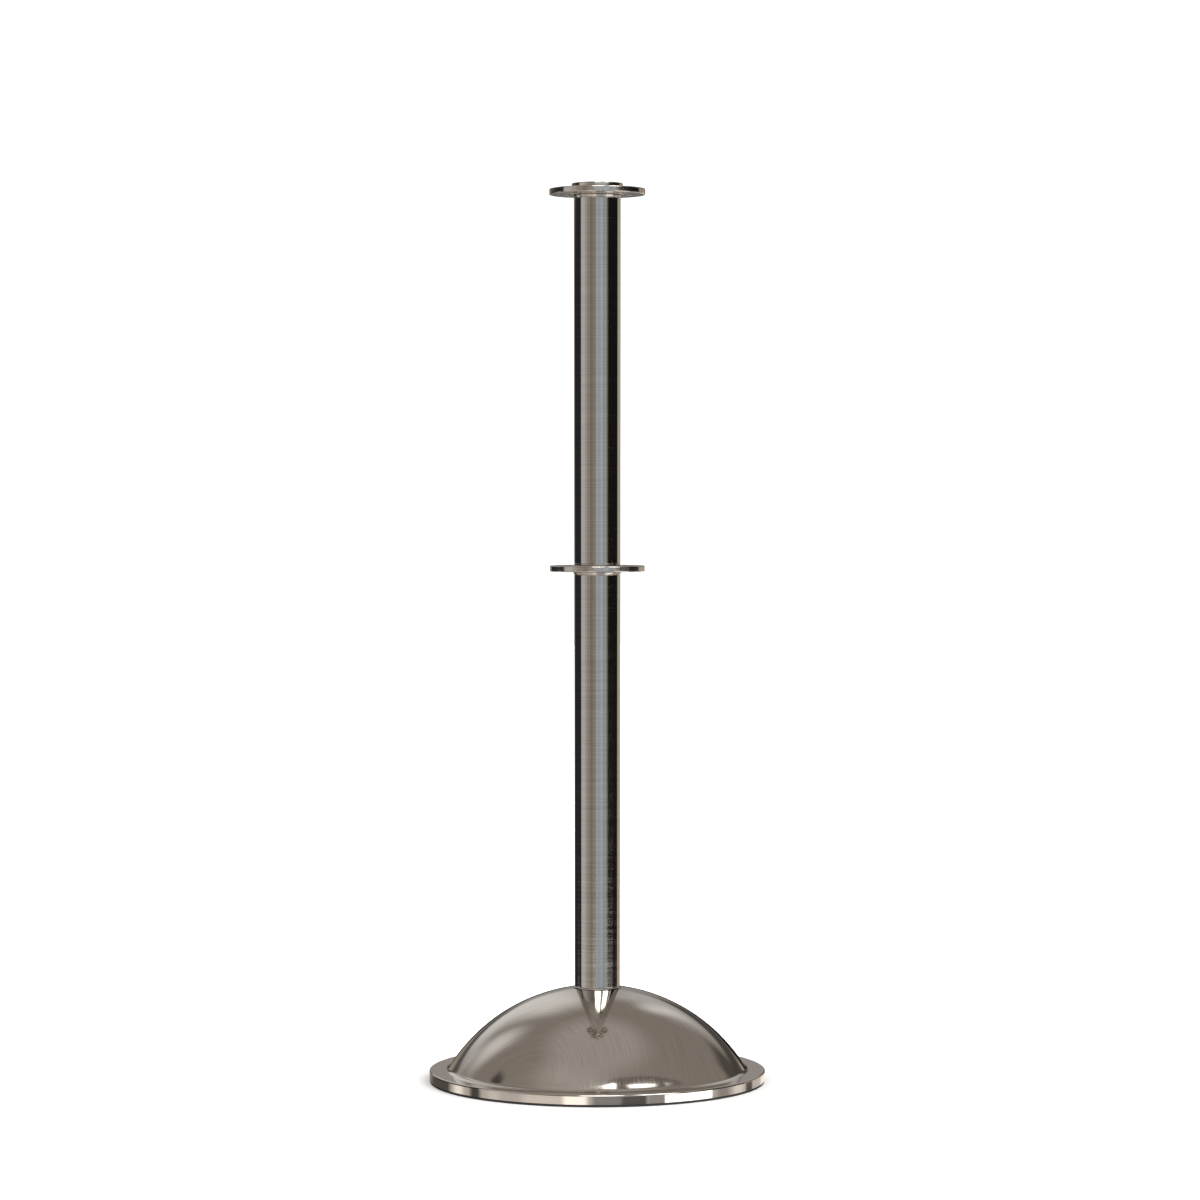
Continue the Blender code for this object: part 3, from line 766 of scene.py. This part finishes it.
# Three windows in the wall behind the camera. It faces the azimuth below, and a height on it
# is the tangent of the elevation where it is nearest.
WALL_AZIMUTH = 25
LINTEL = Window(10, 100, 1.40, 1.85, 0.20)
WINDOWS = [
    Window(-13, 20, 0.46, 1.65, 5.0),
    Window(33, 61, 0.46, 1.46, 6.5),
    Window(70, 78, 0.46, 1.60, 1.0),
]
WALL_SOFTNESS = (1.0, 0.03)  # of the openings' edges: in degrees, and as heights

# Levels are light levels, and edges are elevations in degrees.
BAND_LEVEL = 0.012
BAND_AZIMUTHS = (66.0, 132.0)  # where the band's top starts and ends its way down
BAND_TOPS = (44.0, 4.5)  # elevation of the band's top: towards the camera, and at the back
UPPER_LEVELS = (0.29, 0.33)  # at the back, and at the front
FLOOR_LEVEL = 0.70
FLOOR_EDGE = (-8.5, -8.8)  # elevations where the band ends and the floor begins
DEEP_FLOOR_EDGE = (-11.0, -30.0)
DEEP_FLOOR_LEVELS = (0.30, 0.56)  # of the floor near the post: at the back, and at the front
DEEP_FLOOR_SHARE = 0.72
BACKDROP = 1.2  # level of the plain backdrop that the camera sees
SKY_ON_FLOOR = 1.2  # the cards' strength on matt surfaces
FLOOR_LIGHT = 0.8
FLOOR_LIGHT_SPREAD = 150  # degrees
GLOW_FADE = 0.12  # distance over which the floor turns white, beside the base


def colour(level, tint):
    """A light level and a tint as a colour value."""
    return tuple(level * channel for channel in tint) + (1.0,)


def studio_world():
    """The cards, windows and floor that the metals mirror, around a plain backdrop."""
    world = bpy.data.worlds.new("studio")
    world.use_nodes = True
    tree = world.node_tree
    tree.nodes.clear()
    graph = Graph(tree)
    direction = graph.node("ShaderNodeTexCoord").outputs["Generated"]
    x, y, z = graph.node("ShaderNodeSeparateXYZ", {"Vector": direction}).outputs
    radians = graph.math("ARCTAN2", x, graph.math("MULTIPLY", y, -1.0))
    azimuth = graph.math("DEGREES", radians)
    elevation = graph.math("DEGREES", graph.math("ARCSINE", z))

    def hung(base, cards):
        """The base colour with the cards laid over it, one after the other."""
        result = base
        for card in cards:
            off = graph.math("WRAP", graph.math("SUBTRACT", azimuth, card.azimuth), 180.0, -180.0)
            reach = card.half_width + card.edge / 2
            mask = graph.smoothstep(graph.math("ABSOLUTE", off), reach, reach - card.edge)
            if card.low is not None:
                middle = (card.low + card.high) / 2
                half = (card.high - card.low) / 2
                rise = graph.math("ABSOLUTE", graph.math("SUBTRACT", elevation, middle))
                upright = graph.smoothstep(rise, half + card.soft / 2, half - card.soft / 2)
                mask = graph.math("MULTIPLY", mask, upright)
            result = graph.mix(mask, result, colour(card.level, card.tint))
        return result

    off_wall = graph.math("RADIANS", graph.math("SUBTRACT", azimuth, WALL_AZIMUTH))
    slope = graph.math("TANGENT", graph.math("ARCSINE", z))
    nearness = graph.math("MAXIMUM", graph.math("COSINE", off_wall), 0.05)
    wall_height = graph.math("DIVIDE", slope, nearness)

    def glazed(base, window, tint):
        """The base colour with one opening of the wall laid over it."""
        side_softness, height_softness = WALL_SOFTNESS
        middle = (window.left + window.right) / 2
        reach = (window.right - window.left) / 2
        off = graph.math("ABSOLUTE", graph.math("SUBTRACT", azimuth, middle))
        mask = graph.smoothstep(off, reach + side_softness, reach - side_softness)
        middle = (window.top + window.bottom) / 2
        half = (window.top - window.bottom) / 2
        rise = graph.math("ABSOLUTE", graph.math("SUBTRACT", wall_height, middle))
        upright = graph.smoothstep(rise, half + height_softness, half - height_softness)
        mask = graph.math("MULTIPLY", mask, upright)
        return graph.mix(mask, base, colour(window.level, tint))

    facing = graph.smoothstep(y, 1.0, -1.0)
    back_level, front_level = UPPER_LEVELS
    upper = graph.mix(facing, colour(back_level, BROWN), colour(front_level, BROWN))
    upper = hung(upper, UPPER_CARDS)
    upper = glazed(upper, LINTEL, BROWN)
    band = hung(colour(BAND_LEVEL, WARM), HORIZON_CARDS)
    floor = hung(colour(FLOOR_LEVEL, WARM), FLOOR_CARDS)
    back_level, front_level = DEEP_FLOOR_LEVELS
    deep_floor = graph.mix(facing, colour(back_level, TAN), colour(front_level, BROWN))
    depth = graph.smoothstep(elevation, *DEEP_FLOOR_EDGE, 0.0, DEEP_FLOOR_SHARE)
    floor = graph.mix(depth, floor, deep_floor)
    top = graph.smoothstep(graph.math("ABSOLUTE", azimuth), *BAND_AZIMUTHS, *BAND_TOPS)
    above = graph.math("SUBTRACT", elevation, top)
    sky = graph.mix(graph.smoothstep(above, -1.0, 1.5), band, upper)
    sky = graph.mix(graph.smoothstep(elevation, *FLOOR_EDGE), sky, floor)
    for window in WINDOWS:
        sky = glazed(sky, window, NEUTRAL)

    path = graph.node("ShaderNodeLightPath").outputs
    shown = graph.mix(path["Is Camera Ray"], sky, colour(BACKDROP, (1.0, 1.0, 1.0)))
    strength = graph.spread(path["Is Diffuse Ray"], 1.0, SKY_ON_FLOOR)
    background = graph.node("ShaderNodeBackground", {"Color": shown, "Strength": strength})
    output = graph.node("ShaderNodeOutputWorld")
    tree.links.new(background.outputs[0], output.inputs[0])
    bpy.context.scene.world = world


def make_floor():
    """A pale floor that glows white away from the post, so that it melts into the backdrop.

    Glossy rays pass it, so that the metals reflect the studio cards.
    """
    bpy.ops.mesh.primitive_circle_add(vertices=96, radius=12.0, fill_type="NGON")
    floor = bpy.context.object
    floor.name = "studio_floor"
    made, graph, shader = new_material("floor_paper")
    graph.put(shader.inputs["Base Color"], (0.89, 0.905, 0.92, 1.0))
    graph.put(shader.inputs["Roughness"], 0.9)
    distance = graph.length(graph.node("ShaderNodeTexCoord").outputs["Object"])
    base_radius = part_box("floor_ring")[1].x
    glow = graph.smoothstep(distance, base_radius, base_radius + GLOW_FADE)
    graph.put(shader.inputs["Emission Color"], (1.0, 1.0, 1.0, 1.0))
    graph.put(shader.inputs["Emission Strength"], glow)
    graph.put(shader.inputs["Specular IOR Level"], 0.0)
    floor.data.materials.append(made)
    floor.visible_glossy = False


def make_floor_light():
    """A very soft overhead light for the floor and the rubber. The metals don't mirror it."""
    light = bpy.data.lights.new("floor_light", "SUN")
    light.energy = FLOOR_LIGHT
    light.angle = math.radians(FLOOR_LIGHT_SPREAD)
    lamp = bpy.data.objects.new("floor_light", light)
    lamp.visible_glossy = False
    bpy.context.scene.collection.objects.link(lamp)


CAMERA_PLACE = (0.0, -4.160, 0.654)
CAMERA_PITCH = 9.167  # degrees downward
CAMERA_LENS = 112.49
CAMERA_SHIFT = (0.0023, 0.413)
SHIFT_REACH = 0.005  # how far the camera may be from its place, for the shift to hold


def make_camera():
    """The main viewpoint. The shift holds only there, so that other viewpoints stay centred."""
    data = bpy.data.cameras.new("camera")
    data.lens = CAMERA_LENS
    data.sensor_width = 36.0
    camera = bpy.data.objects.new("camera", data)
    camera.location = CAMERA_PLACE
    camera.rotation_euler = (math.radians(90 - CAMERA_PITCH), 0.0, 0.0)
    bpy.context.scene.collection.objects.link(camera)
    bpy.context.scene.camera = camera
    for path, shift in zip(("shift_x", "shift_y"), CAMERA_SHIFT):
        driver = data.driver_add(path).driver
        driver.type = "SCRIPTED"
        place = driver.variables.new()
        place.name = "y"
        place.targets[0].id = camera
        place.targets[0].data_path = "location.y"
        driver.expression = f"{shift} if abs(y - {CAMERA_PLACE[1]}) < {SHIFT_REACH} else 0"


build_post()
studio_world()
make_floor()
make_floor_light()
make_camera()
bpy.context.scene.view_settings.view_transform = "Standard"
